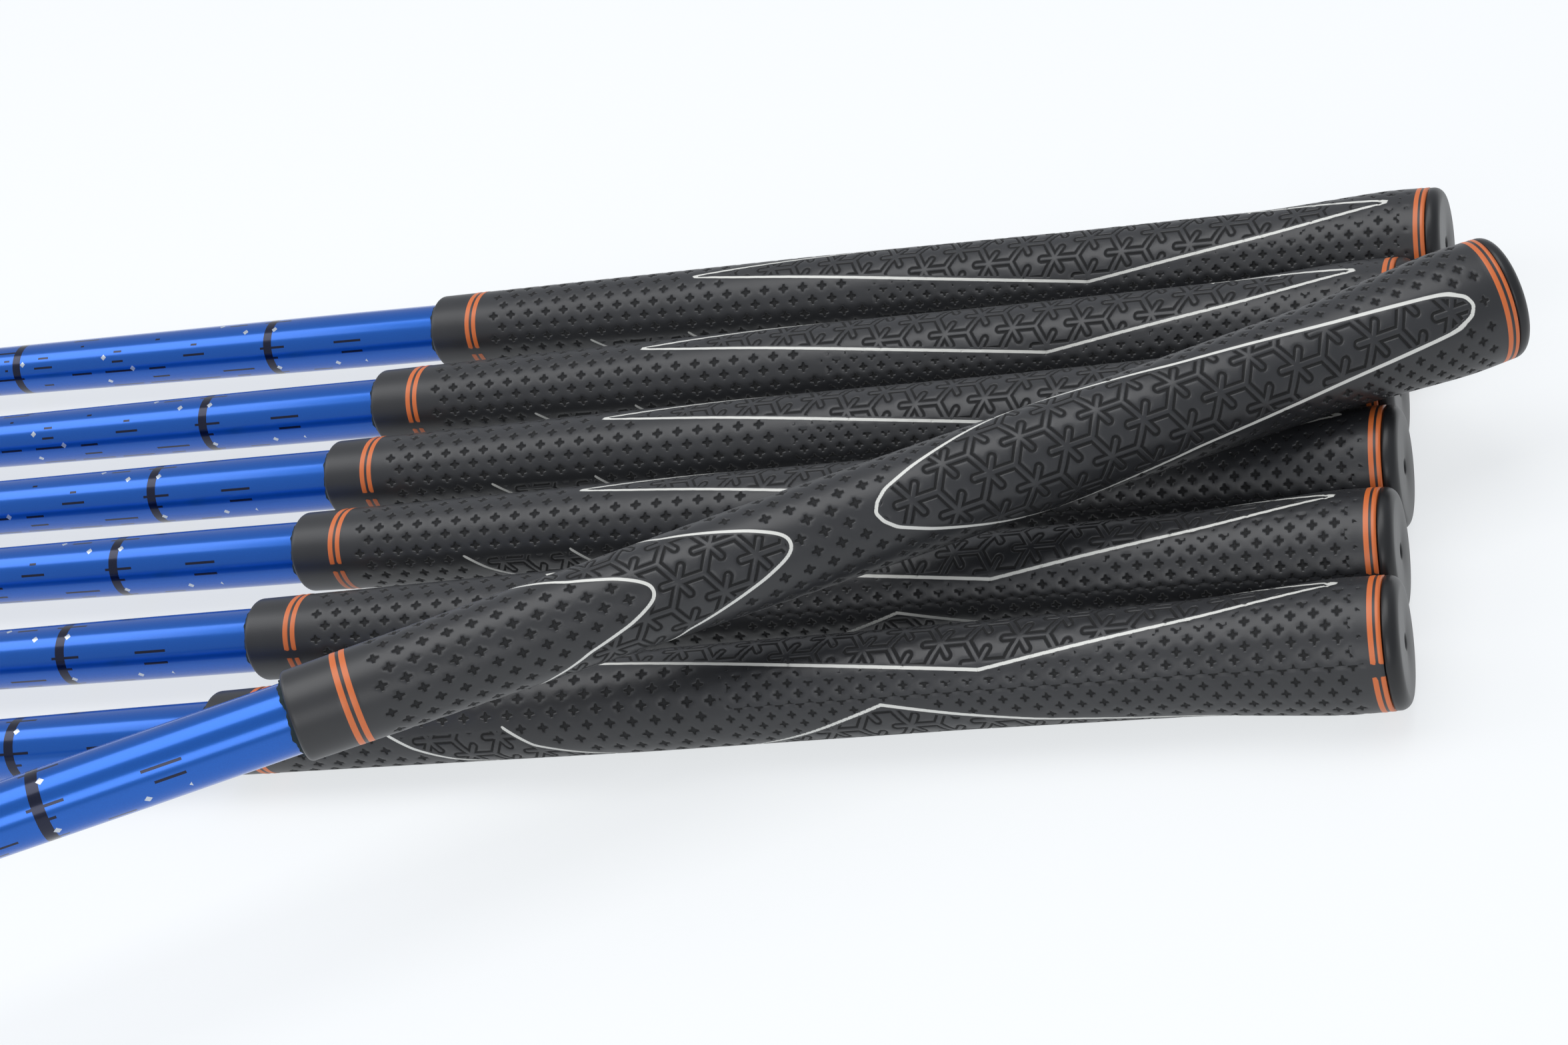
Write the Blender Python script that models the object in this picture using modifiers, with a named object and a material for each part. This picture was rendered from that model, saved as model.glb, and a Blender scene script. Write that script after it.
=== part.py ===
# Golf club set: six irons lying side by side on the ground and a seventh laid across their grips.
# Metres and degrees, +Z up. Each club is modelled along its own shaft, with the butt end at the
# origin, the head towards -Z and the toe towards +Y, under an empty that lays it on the ground.
# The whole set is centred on its footprint.

import math

import bmesh
import bpy
import numpy as np
from mathutils import Matrix, Vector

# Clearance between pieces that touch
GAP = 0.0003

# The clubs: the longest one from butt to sole, and how much each step takes off it
CLUB_LENGTH = 0.978
LENGTH_STEP = 0.0127
# Name, steps shorter than the longest, loft, lie
CLUBS = (
    ("iron_5", 0.0, 27.0, 61.0),
    ("iron_6", 1.0, 30.0, 61.5),
    ("iron_7", 2.0, 34.0, 62.0),
    ("iron_8", 3.0, 38.0, 62.5),
    ("iron_9", 4.0, 42.5, 63.0),
    ("pitching_wedge", 5.0, 47.0, 63.5),
    ("sand_wedge", 5.5, 55.0, 64.0),
)

# Rubber grip: radius at stations measured from the butt end
GRIP_LENGTH = 0.267
CAP_RADIUS = 0.0133
BUTT_RADIUS = 0.01365
BUTT_AT = 0.012
NECK_RADIUS = 0.0117
NECK_AT = 0.040
PALM_RADIUS = 0.0111
PALM_AT = 0.090
WAIST_RADIUS = 0.0110
WAIST_AT = 0.160
MOUTH_RADIUS = 0.0097
MOUTH_ROUND = 0.0006

# End cap with a plug that seats in the grip's bore
CAP_DEPTH = 0.0030
CAP_ROUND = 0.0024
PLUG_DEPTH = 0.0050
VENT_RADIUS = 0.0015

# Grip tape between the shaft and the grip
TAPE_THICKNESS = 0.00035
TAPE_SHOWS = 0.0007
TAPE_SETBACK = 0.0020

# Shaft tube
SHAFT_BUTT_RADIUS = 0.0076
SHAFT_TIP_RADIUS = 0.0047
SHAFT_WALL = 0.0006
PARALLEL_BUTT = 0.300

# Ferrule
FERRULE_LENGTH = 0.024
FERRULE_LIP = 0.0006
FERRULE_SHOULDER = 0.014

# Iron head
HOSEL_RADIUS = 0.0066
HOSEL_LENGTH = 0.066
BORE_DEPTH = 0.030
NECK_START = 0.027
HEEL_STATION = 0.014
TOE_LENGTH = 0.075
TOE_ROUND = 0.016
HEEL_HEIGHT = 0.031
TOE_HEIGHT = 0.057
CREST_LENGTH = 0.009
CREST_RISE = 0.0022
SOLE_WIDTH = 0.021
SOLE_RISE = 0.0025
TOPLINE = 0.0056
BLADE = 0.0082
LEADING_EDGE = 0.0040
LEADING_ROUND = 0.0006

# Shape of a blade section. Heights are shares of the face's height, depths are shares of the topline's
# thickness, of the step from the blade to the muscle, and of the sole's width.
FACE_HEIGHTS = (0.10, 0.30, 0.52, 0.74, 0.94)
TOPLINE_POINTS = ((0.99, 0.12), (1.0, 0.5), (0.985, 1.0))
SHOULDER = 0.88
BACK_POINTS = ((1.0, 0.0), (0.62, 0.0), (0.40, 0.5), (0.18, 0.91))
MUSCLE = 1.5
TRAILING_RISE = 0.15
SOLE_SHARES = (0.80, 0.42)
SOLE_MIDDLE = 0.45
LEADING_SHARE = 0.035
TOE_MIDDLE = 0.45
TOE_EDGE = 0.35
TOE_STATIONS = (0.42, 0.74, 0.93, 0.99)
NECK_STATIONS = (0.25, 0.5, 0.75)

# Cavity in the back of the head
FACE_WALL = 0.0030
CAVITY_RIM = 0.0060
CAVITY_HEEL = 0.024
CAVITY_CHAMFER = 0.0045

# Score lines across the face
SCORE_LINES = 8
SCORE_PITCH = 0.0036
SCORE_WIDTH = 0.0009
SCORE_DEPTH = 0.0004
SCORE_FIRST = 0.0075
SCORE_HEEL = 0.018
SCORE_TOE = 0.058
SCORE_MARGIN = 0.008

# How the set lies: the row of six, then the club across it
ROW_AZIMUTH = (-1.9, -0.8, -0.3, 0.0, 1.0, 2.0)
ROW_LEAN = 35.0
ROW_SLIP = (0.0034, -0.0020, -0.0036, -0.0008, 0.0002, 0.0029)
CROSS_BUTT_X = 0.0208
CROSS_BUTT_Y = 0.0140
CROSS_AZIMUTH = 28.9
CROSS_LEAN = 136.0

SIDES = 20
THIN_SIDES = 16
BALL_STEP = 0.003


def new_material(name, colour, roughness, metallic):
    material = bpy.data.materials.new(name)
    material.use_nodes = True
    shader = material.node_tree.nodes["Principled BSDF"]
    shader.inputs["Base Color"].default_value = (*colour, 1.0)
    shader.inputs["Roughness"].default_value = roughness
    shader.inputs["Metallic"].default_value = metallic
    material.diffuse_color = (*colour, 1.0)
    return material


def add_part(name, mesh, material, parent, collection):
    mesh.materials.append(material)
    part = bpy.data.objects.new(name, mesh)
    part.parent = parent
    collection.objects.link(part)
    return part


# A closed outline of (radius, height) points, listed down its outer side, swept round the shaft axis
def add_turned(name, outline, material, parent, collection, sides):
    mesh = bpy.data.meshes.new(name)
    count = len(outline)
    points = [(radius, 0.0, height) for radius, height in outline]
    mesh.from_pydata(points, [(i, (i + 1) % count) for i in range(count)], [])
    part = add_part(name, mesh, material, parent, collection)
    sweep = part.modifiers.new("sweep", "SCREW")
    sweep.axis = "Z"
    sweep.angle = 2.0 * math.pi
    sweep.steps = sides
    sweep.render_steps = sides
    sweep.use_merge_vertices = True
    sweep.merge_threshold = 0.00001
    return part


def grip_radius(distance):
    stations = (0.0, CAP_DEPTH, BUTT_AT, NECK_AT, PALM_AT, WAIST_AT, GRIP_LENGTH)
    radii = (CAP_RADIUS, CAP_RADIUS, BUTT_RADIUS, NECK_RADIUS, PALM_RADIUS, WAIST_RADIUS, MOUTH_RADIUS)
    return np.interp(distance, stations, radii)


def shaft_radius(distance, length):
    hosel_top = length - HOSEL_LENGTH
    return np.interp(distance, (PARALLEL_BUTT, hosel_top), (SHAFT_BUTT_RADIUS, SHAFT_TIP_RADIUS))


def tape_bore():
    return SHAFT_BUTT_RADIUS + GAP


def grip_bore():
    return tape_bore() + TAPE_THICKNESS + GAP


def shaft_start():
    return CAP_DEPTH + PLUG_DEPTH + GAP


# Quarter circle of outline points from a flat end face round to a straight side
def rounded_corner(radius, height, rounding, steps):
    turns = np.radians(np.linspace(90.0, 0.0, steps + 1))
    centre = (radius - rounding, height - rounding)
    return [(centre[0] + rounding * math.cos(a), centre[1] + rounding * math.sin(a)) for a in turns]


def grip_cap_outline():
    plug_end = -(CAP_DEPTH + PLUG_DEPTH)
    plug_radius = grip_bore() - GAP
    outer = rounded_corner(CAP_RADIUS, 0.0, CAP_ROUND, 3)
    plug = [(CAP_RADIUS, -CAP_DEPTH), (plug_radius, -CAP_DEPTH), (plug_radius, plug_end)]
    return [(VENT_RADIUS, 0.0)] + outer + plug + [(VENT_RADIUS, plug_end)]


def grip_outline():
    start = CAP_DEPTH + GAP
    mouth = GRIP_LENGTH - MOUTH_ROUND
    stations = [start, BUTT_AT, 0.5 * (BUTT_AT + NECK_AT), NECK_AT, PALM_AT, WAIST_AT, mouth]
    outer = [(grip_radius(s), -s) for s in stations]
    bore = grip_bore()
    return outer + [(MOUTH_RADIUS - MOUTH_ROUND, -GRIP_LENGTH), (bore, -GRIP_LENGTH), (bore, -start)]


def grip_tape_outline():
    top = -(shaft_start() + TAPE_SETBACK)
    end = -(GRIP_LENGTH + TAPE_SHOWS)
    bore = tape_bore()
    return [(bore + TAPE_THICKNESS, top), (bore + TAPE_THICKNESS, end), (bore, end), (bore, top)]


def shaft_outline(length):
    hosel_top = length - HOSEL_LENGTH
    tip = hosel_top + BORE_DEPTH - GAP
    stations = (shaft_start(), PARALLEL_BUTT, hosel_top, tip)
    outer = [(shaft_radius(s, length), -s) for s in stations]
    inner = [(radius - SHAFT_WALL, height) for radius, height in reversed(outer)]
    return outer + inner


def ferrule_outline(length):
    low = length - HOSEL_LENGTH - GAP
    shoulder = low - FERRULE_SHOULDER
    high = low - FERRULE_LENGTH
    bore_low = shaft_radius(low, length) + GAP
    bore_high = shaft_radius(high, length) + GAP
    lip = bore_high + FERRULE_LIP
    belly = (0.5 * (lip + HOSEL_RADIUS + FERRULE_LIP), -0.5 * (high + shoulder))
    outer = [(lip, -high), belly, (HOSEL_RADIUS, -shoulder), (HOSEL_RADIUS, -low)]
    return outer + [(bore_low, -low), (bore_high, -high)]


# Head space has T towards the toe, F ahead of the face and U up from the sole, with the shaft's
# axis through its zero. This carries its points into the club's own space.
def head_to_club(points, length, lie):
    toe, front, up = points[:, 0], points[:, 1], points[:, 2]
    sin, cos = math.sin(math.radians(lie)), math.cos(math.radians(lie))
    return np.column_stack((-front, toe * sin + up * cos, up * sin - toe * cos - length))


# A point of the blade at height V up the face and depth D behind it
def face_to_head(toe, height, depth, loft):
    sin, cos = math.sin(math.radians(loft)), math.cos(math.radians(loft))
    front = LEADING_EDGE - height * sin - depth * cos
    up = height * cos - depth * sin
    return np.column_stack((np.broadcast_to(toe, front.shape), front, up))


def head_to_face(front, up, loft):
    sin, cos = math.sin(math.radians(loft)), math.cos(math.radians(loft))
    back = LEADING_EDGE - front
    return up * cos + back * sin, back * cos - up * sin


# The toe stations where the topline's crest starts and where the toe starts to round off
def crest_stations():
    full = TOE_LENGTH - TOE_ROUND
    return full - CREST_LENGTH, full


def topline_height(toe):
    stations = (HEEL_STATION, *crest_stations())
    return np.interp(toe, stations, (HEEL_HEIGHT, TOE_HEIGHT - CREST_RISE, TOE_HEIGHT))


# The toe station at which the topline reaches a height
def topline_station(height):
    crest = crest_stations()[0]
    return np.interp(height, (HEEL_HEIGHT, TOE_HEIGHT - CREST_RISE), (HEEL_STATION, crest))


def trailing_edge(loft):
    return head_to_face(LEADING_EDGE - SOLE_WIDTH, TRAILING_RISE * SOLE_WIDTH, loft)


# One blade section as 16 (height, depth) points: up the face, over the topline, down the back to the
# trailing edge and forward along the sole. Towards the toe it shrinks by a quarter-ellipse law.
def blade_section(toe, loft):
    top = topline_height(toe)
    reach = (toe - HEEL_STATION) / (TOE_LENGTH - HEEL_STATION)
    rise = SOLE_RISE * (2.0 * (reach - SOLE_MIDDLE)) ** 2
    edge_height, edge_depth = trailing_edge(loft)
    face = [(share * top, 0.0) for share in FACE_HEIGHTS]
    over = [(share * top, depth * TOPLINE) for share, depth in TOPLINE_POINTS]
    climb = SHOULDER * top - edge_height
    step = max(edge_depth, MUSCLE * BLADE) - BLADE
    back = [(edge_height + share * climb, BLADE + depth * step) for share, depth in BACK_POINTS]
    sole = [head_to_face(LEADING_EDGE - share * SOLE_WIDTH, rise, loft) for share in SOLE_SHARES]
    edge = [(LEADING_SHARE * top, LEADING_ROUND)]
    points = np.array(face + over + back + [(edge_height, edge_depth)] + sole + edge)
    past = max(0.0, toe - crest_stations()[1]) / TOE_ROUND
    shrink = math.sqrt(1.0 - past * past)
    middle = TOE_MIDDLE * top
    points[:, 0] = middle + (points[:, 0] - middle) * shrink
    points[:, 1] *= TOE_EDGE + (1.0 - TOE_EDGE) * shrink
    return points


# The loft's sections in head space: rings down the hosel, a curved neck and the blade out to the toe
def head_sections(loft, lie):
    sin, cos = math.sin(math.radians(lie)), math.cos(math.radians(lie))
    shaft = np.array((-cos, 0.0, sin))
    across = np.array((sin, 0.0, cos))
    front = np.array((0.0, 1.0, 0.0))
    turns = np.radians(22.5 * (np.arange(16) - 2.0))[:, None]
    ring = HOSEL_RADIUS * (np.cos(turns) * front + np.sin(turns) * across)
    rings = [ring + shaft * HOSEL_LENGTH, ring + shaft * NECK_START]
    crest, full = crest_stations()
    stations = [HEEL_STATION, 0.5 * (HEEL_STATION + crest), crest, full]
    stations += [full + TOE_ROUND * share for share in TOE_STATIONS]
    blade = []
    for toe in stations:
        section = blade_section(toe, loft)
        blade.append(face_to_head(toe, section[:, 0], section[:, 1], loft))
    neck = []
    start, end = rings[-1], blade[0]
    pull = np.linalg.norm(end - start, axis=1)[:, None]
    for t in NECK_STATIONS:
        leave = (t ** 3 - 2.0 * t ** 2 + t) * pull * -shaft
        arrive = (t ** 3 - t ** 2) * pull * np.array((1.0, 0.0, 0.0))
        ease = 3.0 * t ** 2 - 2.0 * t ** 3
        neck.append((1.0 - ease) * start + ease * end + leave + arrive)
    return rings + neck + blade


def loft_mesh(name, sections):
    shape = bmesh.new()
    loops = [[shape.verts.new(point) for point in section] for section in sections]
    count = len(loops[0])
    for near, far in zip(loops, loops[1:]):
        for i in range(count):
            j = (i + 1) % count
            shape.faces.new((near[i], near[j], far[j], far[i]))
    shape.faces.new(loops[0])
    shape.faces.new(loops[-1])
    bmesh.ops.recalc_face_normals(shape, faces=shape.faces)
    mesh = bpy.data.meshes.new(name)
    shape.to_mesh(mesh)
    shape.free()
    return mesh


# The cavity's outline on the face plane, carried from its floor out past the back
def cavity_sections(loft):
    heel, toe = CAVITY_HEEL, crest_stations()[1]
    low = trailing_edge(loft)[0] + CAVITY_RIM
    chamfer = CAVITY_CHAMFER
    high = topline_height(toe - chamfer) - CAVITY_RIM
    heel_side = [(heel, low), (heel, topline_height(heel) - CAVITY_RIM)]
    toe_side = [(toe - chamfer, high), (toe, high - chamfer), (toe, low + chamfer), (toe - chamfer, low)]
    outline = np.array(heel_side + toe_side)
    depths = (FACE_WALL, 3.0 * SOLE_WIDTH)
    return [face_to_head(outline[:, 0], outline[:, 1], np.full(len(outline), d), loft) for d in depths]


# A score line as a bar that stands in and out of the face by its depth
def score_sections(line, loft):
    height = SCORE_FIRST + line * SCORE_PITCH
    heel = max(SCORE_HEEL, topline_station(height) + SCORE_MARGIN)
    low, high = height - 0.5 * SCORE_WIDTH, height + 0.5 * SCORE_WIDTH
    outline = np.array([(heel, low), (SCORE_TOE, low), (SCORE_TOE, high), (heel, high)])
    depths = (-SCORE_DEPTH, SCORE_DEPTH)
    return [face_to_head(outline[:, 0], outline[:, 1], np.full(4, d), loft) for d in depths]


# Cavity, shaft bore and score lines as one tool to cut from the head
def add_cutter(name, length, loft, lie, parent, collection):
    shape = bmesh.new()
    blocks = [cavity_sections(loft)]
    blocks += [score_sections(line, loft) for line in range(SCORE_LINES)]
    for sections in blocks:
        mesh = loft_mesh(name, [head_to_club(s, length, lie) for s in sections])
        shape.from_mesh(mesh)
        bpy.data.meshes.remove(mesh)
    place = Matrix.Translation((0.0, 0.0, HOSEL_LENGTH - length))
    bore = SHAFT_TIP_RADIUS + GAP
    bmesh.ops.create_cone(shape, cap_ends=True, segments=THIN_SIDES, radius1=bore, radius2=bore,
                          depth=2.0 * BORE_DEPTH, matrix=place)
    mesh = bpy.data.meshes.new(name)
    shape.to_mesh(mesh)
    shape.free()
    cutter = bpy.data.objects.new(name, mesh)
    cutter.parent = parent
    cutter.hide_render = True
    cutter.display_type = "WIRE"
    collection.objects.link(cutter)
    return cutter


# Turns a club from its own space, shaft upright, to lying: butt towards +X and toe up, then leans the
# toe back, tips the head up by the slope and swings it round by the azimuth
def lying_turn(azimuth, slope, lean):
    lay = Matrix(((0.0, 0.0, 1.0), (1.0, 0.0, 0.0), (0.0, 1.0, 0.0))).to_4x4()
    swing = Matrix.Rotation(math.radians(azimuth), 4, "Z")
    tip = Matrix.Rotation(slope, 4, "Y")
    roll = Matrix.Rotation(-math.radians(lean), 4, "X")
    return swing @ tip @ roll @ lay


# The slope at which the head's lowest point just meets the ground
def resting_slope(head_points, butt_height, azimuth, lean, reach):
    slope = 0.0
    for _ in range(8):
        turn = np.array(lying_turn(azimuth, slope, lean).to_3x3())
        lowest = butt_height + (head_points @ turn.T)[:, 2].min()
        slope -= lowest / reach
    return slope


# Points along a lying club's axis, with the grip or shaft radius there
def axis_balls(place, length):
    distances = np.arange(CAP_RADIUS, length - HOSEL_LENGTH, BALL_STEP)
    ends = np.column_stack((np.zeros_like(distances), np.zeros_like(distances), -distances))
    turn = np.array(place.to_3x3())
    points = ends @ turn.T + np.array(place.translation)
    gripped = distances < GRIP_LENGTH
    return points, np.where(gripped, grip_radius(distances), shaft_radius(distances, length))


# How far the upper club must rise to clear the lower one by the gap
def rise_to_clear(upper, lower):
    apart = np.linalg.norm(upper[0][:, None, :2] - lower[0][None, :, :2], axis=2)
    reach = upper[1][:, None] + lower[1][None, :] + GAP
    near = apart < reach
    stand = np.sqrt(np.where(near, reach ** 2 - apart ** 2, 0.0))
    needed = stand + lower[0][None, :, 2] - upper[0][:, None, 2]
    return float(needed[near].max()) if near.any() else -math.inf


def add_club(name, length, loft, lie, materials, parent, parts, cutters):
    sections = [head_to_club(s, length, lie) for s in head_sections(loft, lie)]
    head = add_part(name + "_head", loft_mesh(name + "_head", sections), materials["steel"], parent, parts)
    cut = head.modifiers.new("bore, cavity and score lines", "BOOLEAN")
    cut.operation = "DIFFERENCE"
    cut.solver = "EXACT"
    cut.object = add_cutter(name + "_head_cutter", length, loft, lie, parent, cutters)
    turned = (
        ("_ferrule", ferrule_outline(length), "ferrule", THIN_SIDES),
        ("_shaft", shaft_outline(length), "shaft", THIN_SIDES),
        ("_grip_tape", grip_tape_outline(), "tape", THIN_SIDES),
        ("_grip", grip_outline(), "rubber", SIDES),
        ("_grip_cap", grip_cap_outline(), "cap", SIDES),
    )
    for suffix, outline, finish, sides in turned:
        add_turned(name + suffix, outline, materials[finish], parent, parts, sides)
    return np.concatenate(sections)


def clear_scene():
    for item in list(bpy.data.objects):
        bpy.data.objects.remove(item)


# Middle of the footprint, at the height of the lowest point
def ground_centre(parts):
    graph = bpy.context.evaluated_depsgraph_get()
    points = []
    for part in parts.objects:
        if part.type == "MESH":
            shape = part.evaluated_get(graph)
            turn = np.array(shape.matrix_world)
            local = np.array([vertex.co for vertex in shape.data.vertices])
            points.append(local @ turn[:3, :3].T + turn[:3, 3])
    low, high = np.concatenate(points).min(axis=0), np.concatenate(points).max(axis=0)
    return Vector((0.5 * (low[0] + high[0]), 0.5 * (low[1] + high[1]), low[2]))


def add_empty(name, parent, collection):
    empty = bpy.data.objects.new(name, None)
    empty.empty_display_size = 0.05
    empty.parent = parent
    collection.objects.link(empty)
    return empty


def main():
    clear_scene()
    parts = bpy.data.collections.new("golf_club_set")
    cutters = bpy.data.collections.new("cutters")
    for collection in (parts, cutters):
        bpy.context.scene.collection.children.link(collection)
    materials = {
        "steel": new_material("satin_steel", (0.52, 0.53, 0.55), 0.30, 1.0),
        "ferrule": new_material("ferrule_plastic", (0.012, 0.012, 0.014), 0.25, 0.0),
        "shaft": new_material("lacquered_blue_shaft", (0.02, 0.10, 0.42), 0.18, 0.5),
        "tape": new_material("grip_tape", (0.02, 0.09, 0.10), 0.8, 0.0),
        "rubber": new_material("grip_rubber", (0.012, 0.012, 0.013), 0.62, 0.0),
        "cap": new_material("cap_rubber", (0.010, 0.010, 0.011), 0.35, 0.0),
    }
    whole = add_empty("golf_club_set_centre", None, parts)
    pitch = 2.0 * BUTT_RADIUS + GAP
    places = []
    for index, (name, steps, loft, lie) in enumerate(CLUBS):
        length = CLUB_LENGTH - steps * LENGTH_STEP
        stand = add_empty(name, whole, parts)
        head = add_club(name, length, loft, lie, materials, stand, parts, cutters)
        if index < len(ROW_SLIP):
            offset = index - 0.5 * (len(ROW_SLIP) - 1)
            azimuth, lean = ROW_AZIMUTH[index], ROW_LEAN
            butt = Vector((ROW_SLIP[index], -offset * pitch, BUTT_RADIUS))
            slope = resting_slope(head, butt.z, azimuth, lean, length)
        else:
            azimuth, lean = CROSS_AZIMUTH, CROSS_LEAN
            butt = Vector((CROSS_BUTT_X, CROSS_BUTT_Y, 3.0 * BUTT_RADIUS))
            for _ in range(6):
                slope = resting_slope(head, butt.z, azimuth, lean, length)
                balls = axis_balls(Matrix.Translation(butt) @ lying_turn(azimuth, slope, lean), length)
                butt.z += max(rise_to_clear(balls, axis_balls(*lower)) for lower in places)
        place = Matrix.Translation(butt) @ lying_turn(azimuth, slope, lean)
        places.append((place, length))
        stand.matrix_local = place
        print(name, "butt height", round(butt.z, 5), "slope", round(math.degrees(slope), 3))
    bpy.context.view_layer.update()
    whole.location = -ground_centre(parts)


main()
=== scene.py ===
import math

import bpy
import numpy as np
from mathutils import Matrix, Vector


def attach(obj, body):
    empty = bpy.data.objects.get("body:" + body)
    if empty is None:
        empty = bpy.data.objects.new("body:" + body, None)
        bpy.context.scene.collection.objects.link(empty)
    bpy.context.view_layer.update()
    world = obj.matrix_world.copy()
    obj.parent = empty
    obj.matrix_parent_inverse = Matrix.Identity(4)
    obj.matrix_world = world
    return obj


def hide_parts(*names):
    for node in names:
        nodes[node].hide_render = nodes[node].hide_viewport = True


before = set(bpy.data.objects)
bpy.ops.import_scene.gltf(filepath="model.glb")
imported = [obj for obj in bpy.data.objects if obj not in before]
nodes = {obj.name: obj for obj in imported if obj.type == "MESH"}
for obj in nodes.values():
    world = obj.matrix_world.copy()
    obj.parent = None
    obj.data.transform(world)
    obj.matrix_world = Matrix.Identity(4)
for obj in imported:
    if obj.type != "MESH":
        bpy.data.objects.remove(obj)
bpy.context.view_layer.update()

mm = 0.001
print("frame loaded")


# sRGB hex to linear colour
def linear(hexCode, alpha=1.0):
    parts = [int(hexCode[i:i + 2], 16) / 255 for i in (1, 3, 5)]
    return (*[c / 12.92 if c <= 0.04045 else ((c + 0.055) / 1.055) ** 2.4 for c in parts], alpha)


def unit(vector):
    return vector / np.linalg.norm(vector)


# Each input is linked if it is a socket, and set to its value if not
def setInputs(tree, node, inputs):
    for socket, value in inputs.items():
        if isinstance(value, bpy.types.NodeSocket):
            tree.links.new(value, node.inputs[socket])
        else:
            node.inputs[socket].default_value = value


def addNode(tree, kind, inputs=None, **settings):
    node = tree.nodes.new(kind)
    for name, value in settings.items():
        setattr(node, name, value)
    setInputs(tree, node, inputs or {})
    return node


# A material with its nodes and its shader
def newMaterial(name):
    material = bpy.data.materials.new(name)
    material.use_nodes = True
    tree = material.node_tree
    return material, tree, tree.nodes["Principled BSDF"]


# A socket that takes part in sums, so one formula serves both arrays and shader nodes
class Signal:
    def __init__(self, tree, socket):
        self.tree, self.socket = tree, socket

    def apply(self, operation, *values):
        sockets = {i: v.socket if isinstance(v, Signal) else v for i, v in enumerate(values)}
        node = addNode(self.tree, "ShaderNodeMath", sockets, operation=operation)
        return Signal(self.tree, node.outputs[0])

    def __add__(self, other):
        return self.apply("ADD", self, other)

    def __sub__(self, other):
        return self.apply("SUBTRACT", self, other)

    def __rsub__(self, other):
        return self.apply("SUBTRACT", other, self)

    def __mul__(self, other):
        return self.apply("MULTIPLY", self, other)

    def __truediv__(self, other):
        return self.apply("DIVIDE", self, other)

    def __abs__(self):
        return self.apply("ABSOLUTE", self)


# The same step for arrays and for signals
def forBoth(operation, onArrays):
    def step(*values):
        signal = next((v for v in values if isinstance(v, Signal)), None)
        return onArrays(*values) if signal is None else signal.apply(operation, *values)
    return step


least, most = forBoth("MINIMUM", np.minimum), forBoth("MAXIMUM", np.maximum)
root, floor = forBoth("SQRT", np.sqrt), forBoth("FLOOR", np.floor)
sine, cosine, turnTo = forBoth("SINE", np.sin), forBoth("COSINE", np.cos), forBoth("ARCTAN2", np.arctan2)
below = forBoth("LESS_THAN", lambda a, b: 1.0 * (a < b))
wrap = forBoth("WRAP", lambda value, high, low: (value - low) % (high - low) + low)


def wrapAbout(value, period):
    return wrap(value, period / 2, -period / 2)


# 0 below low, 1 above high, straight between
def ramp(signal, low, high):
    inputs = {"Value": signal.socket, "From Min": low, "From Max": high}
    return addNode(signal.tree, "ShaderNodeMapRange", inputs, clamp=True).outputs["Result"]


def mixColour(tree, share, first, second):
    inputs = {"Factor": share, 6: first, 7: second}  # 6 and 7 are the mix node's two colours
    return addNode(tree, "ShaderNodeMix", inputs, data_type="RGBA").outputs[2]


def field(tree, name):
    return Signal(tree, addNode(tree, "ShaderNodeAttribute", attribute_name=name).outputs["Fac"])


# A piece's own flat map: distance round it and along it, in mm
def flatMap(tree):
    flat = addNode(tree, "ShaderNodeUVMap", uv_map="flat").outputs["UV"]
    split = addNode(tree, "ShaderNodeSeparateXYZ", {0: flat})
    return Signal(tree, split.outputs[0]), Signal(tree, split.outputs[1])


# Points of a CAD node, each once
def nodePoints(name):
    mesh = nodes[name].data
    flat = np.empty(len(mesh.vertices) * 3, np.float32)
    mesh.vertices.foreach_get("co", flat)
    return np.unique(flat.reshape(-1, 3).astype(float).round(6), axis=0)


# A club's butt end, its axis towards the butt, and the level and upward directions across it
def clubFrame(name):
    cap, ferrule = nodePoints(name + "_grip_cap"), nodePoints(name + "_ferrule")
    axis = unit(cap.mean(axis=0) - ferrule.mean(axis=0))
    butt = cap.mean(axis=0) + axis * ((cap - cap.mean(axis=0)) @ axis).max()
    near = unit(np.cross(axis, (0.0, 0.0, 1.0)))
    return {"name": name, "butt": butt, "axis": axis, "near": near, "up": np.cross(near, axis)}


# Distance from the butt and from the axis of a node's points
def stationsOf(club, node):
    offset = nodePoints(club["name"] + node) - club["butt"]
    along = -offset @ club["axis"]
    return along, np.linalg.norm(offset + np.outer(along, club["axis"]), axis=1)


# The outer outline of a turned node, as distances from the butt and radii
def outlineOf(club, node):
    along, radius = stationsOf(club, node)
    keys = along.round(5)
    stations = np.unique(keys)
    return stations, np.array([radius[keys == s].max() for s in stations]), radius.min()


# Turned surface: butt - s axis + r (near cos a + up sin a), for each station s and angle a
def turnedPoints(club, along, radius, turns):
    side = np.cos(turns)[:, None] * club["near"] + np.sin(turns)[:, None] * club["up"]
    reach = np.broadcast_to(np.reshape(radius, (len(along), -1)), (len(along), len(turns)))
    return club["butt"] - along[:, None, None] * club["axis"] + reach[..., None] * side


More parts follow.
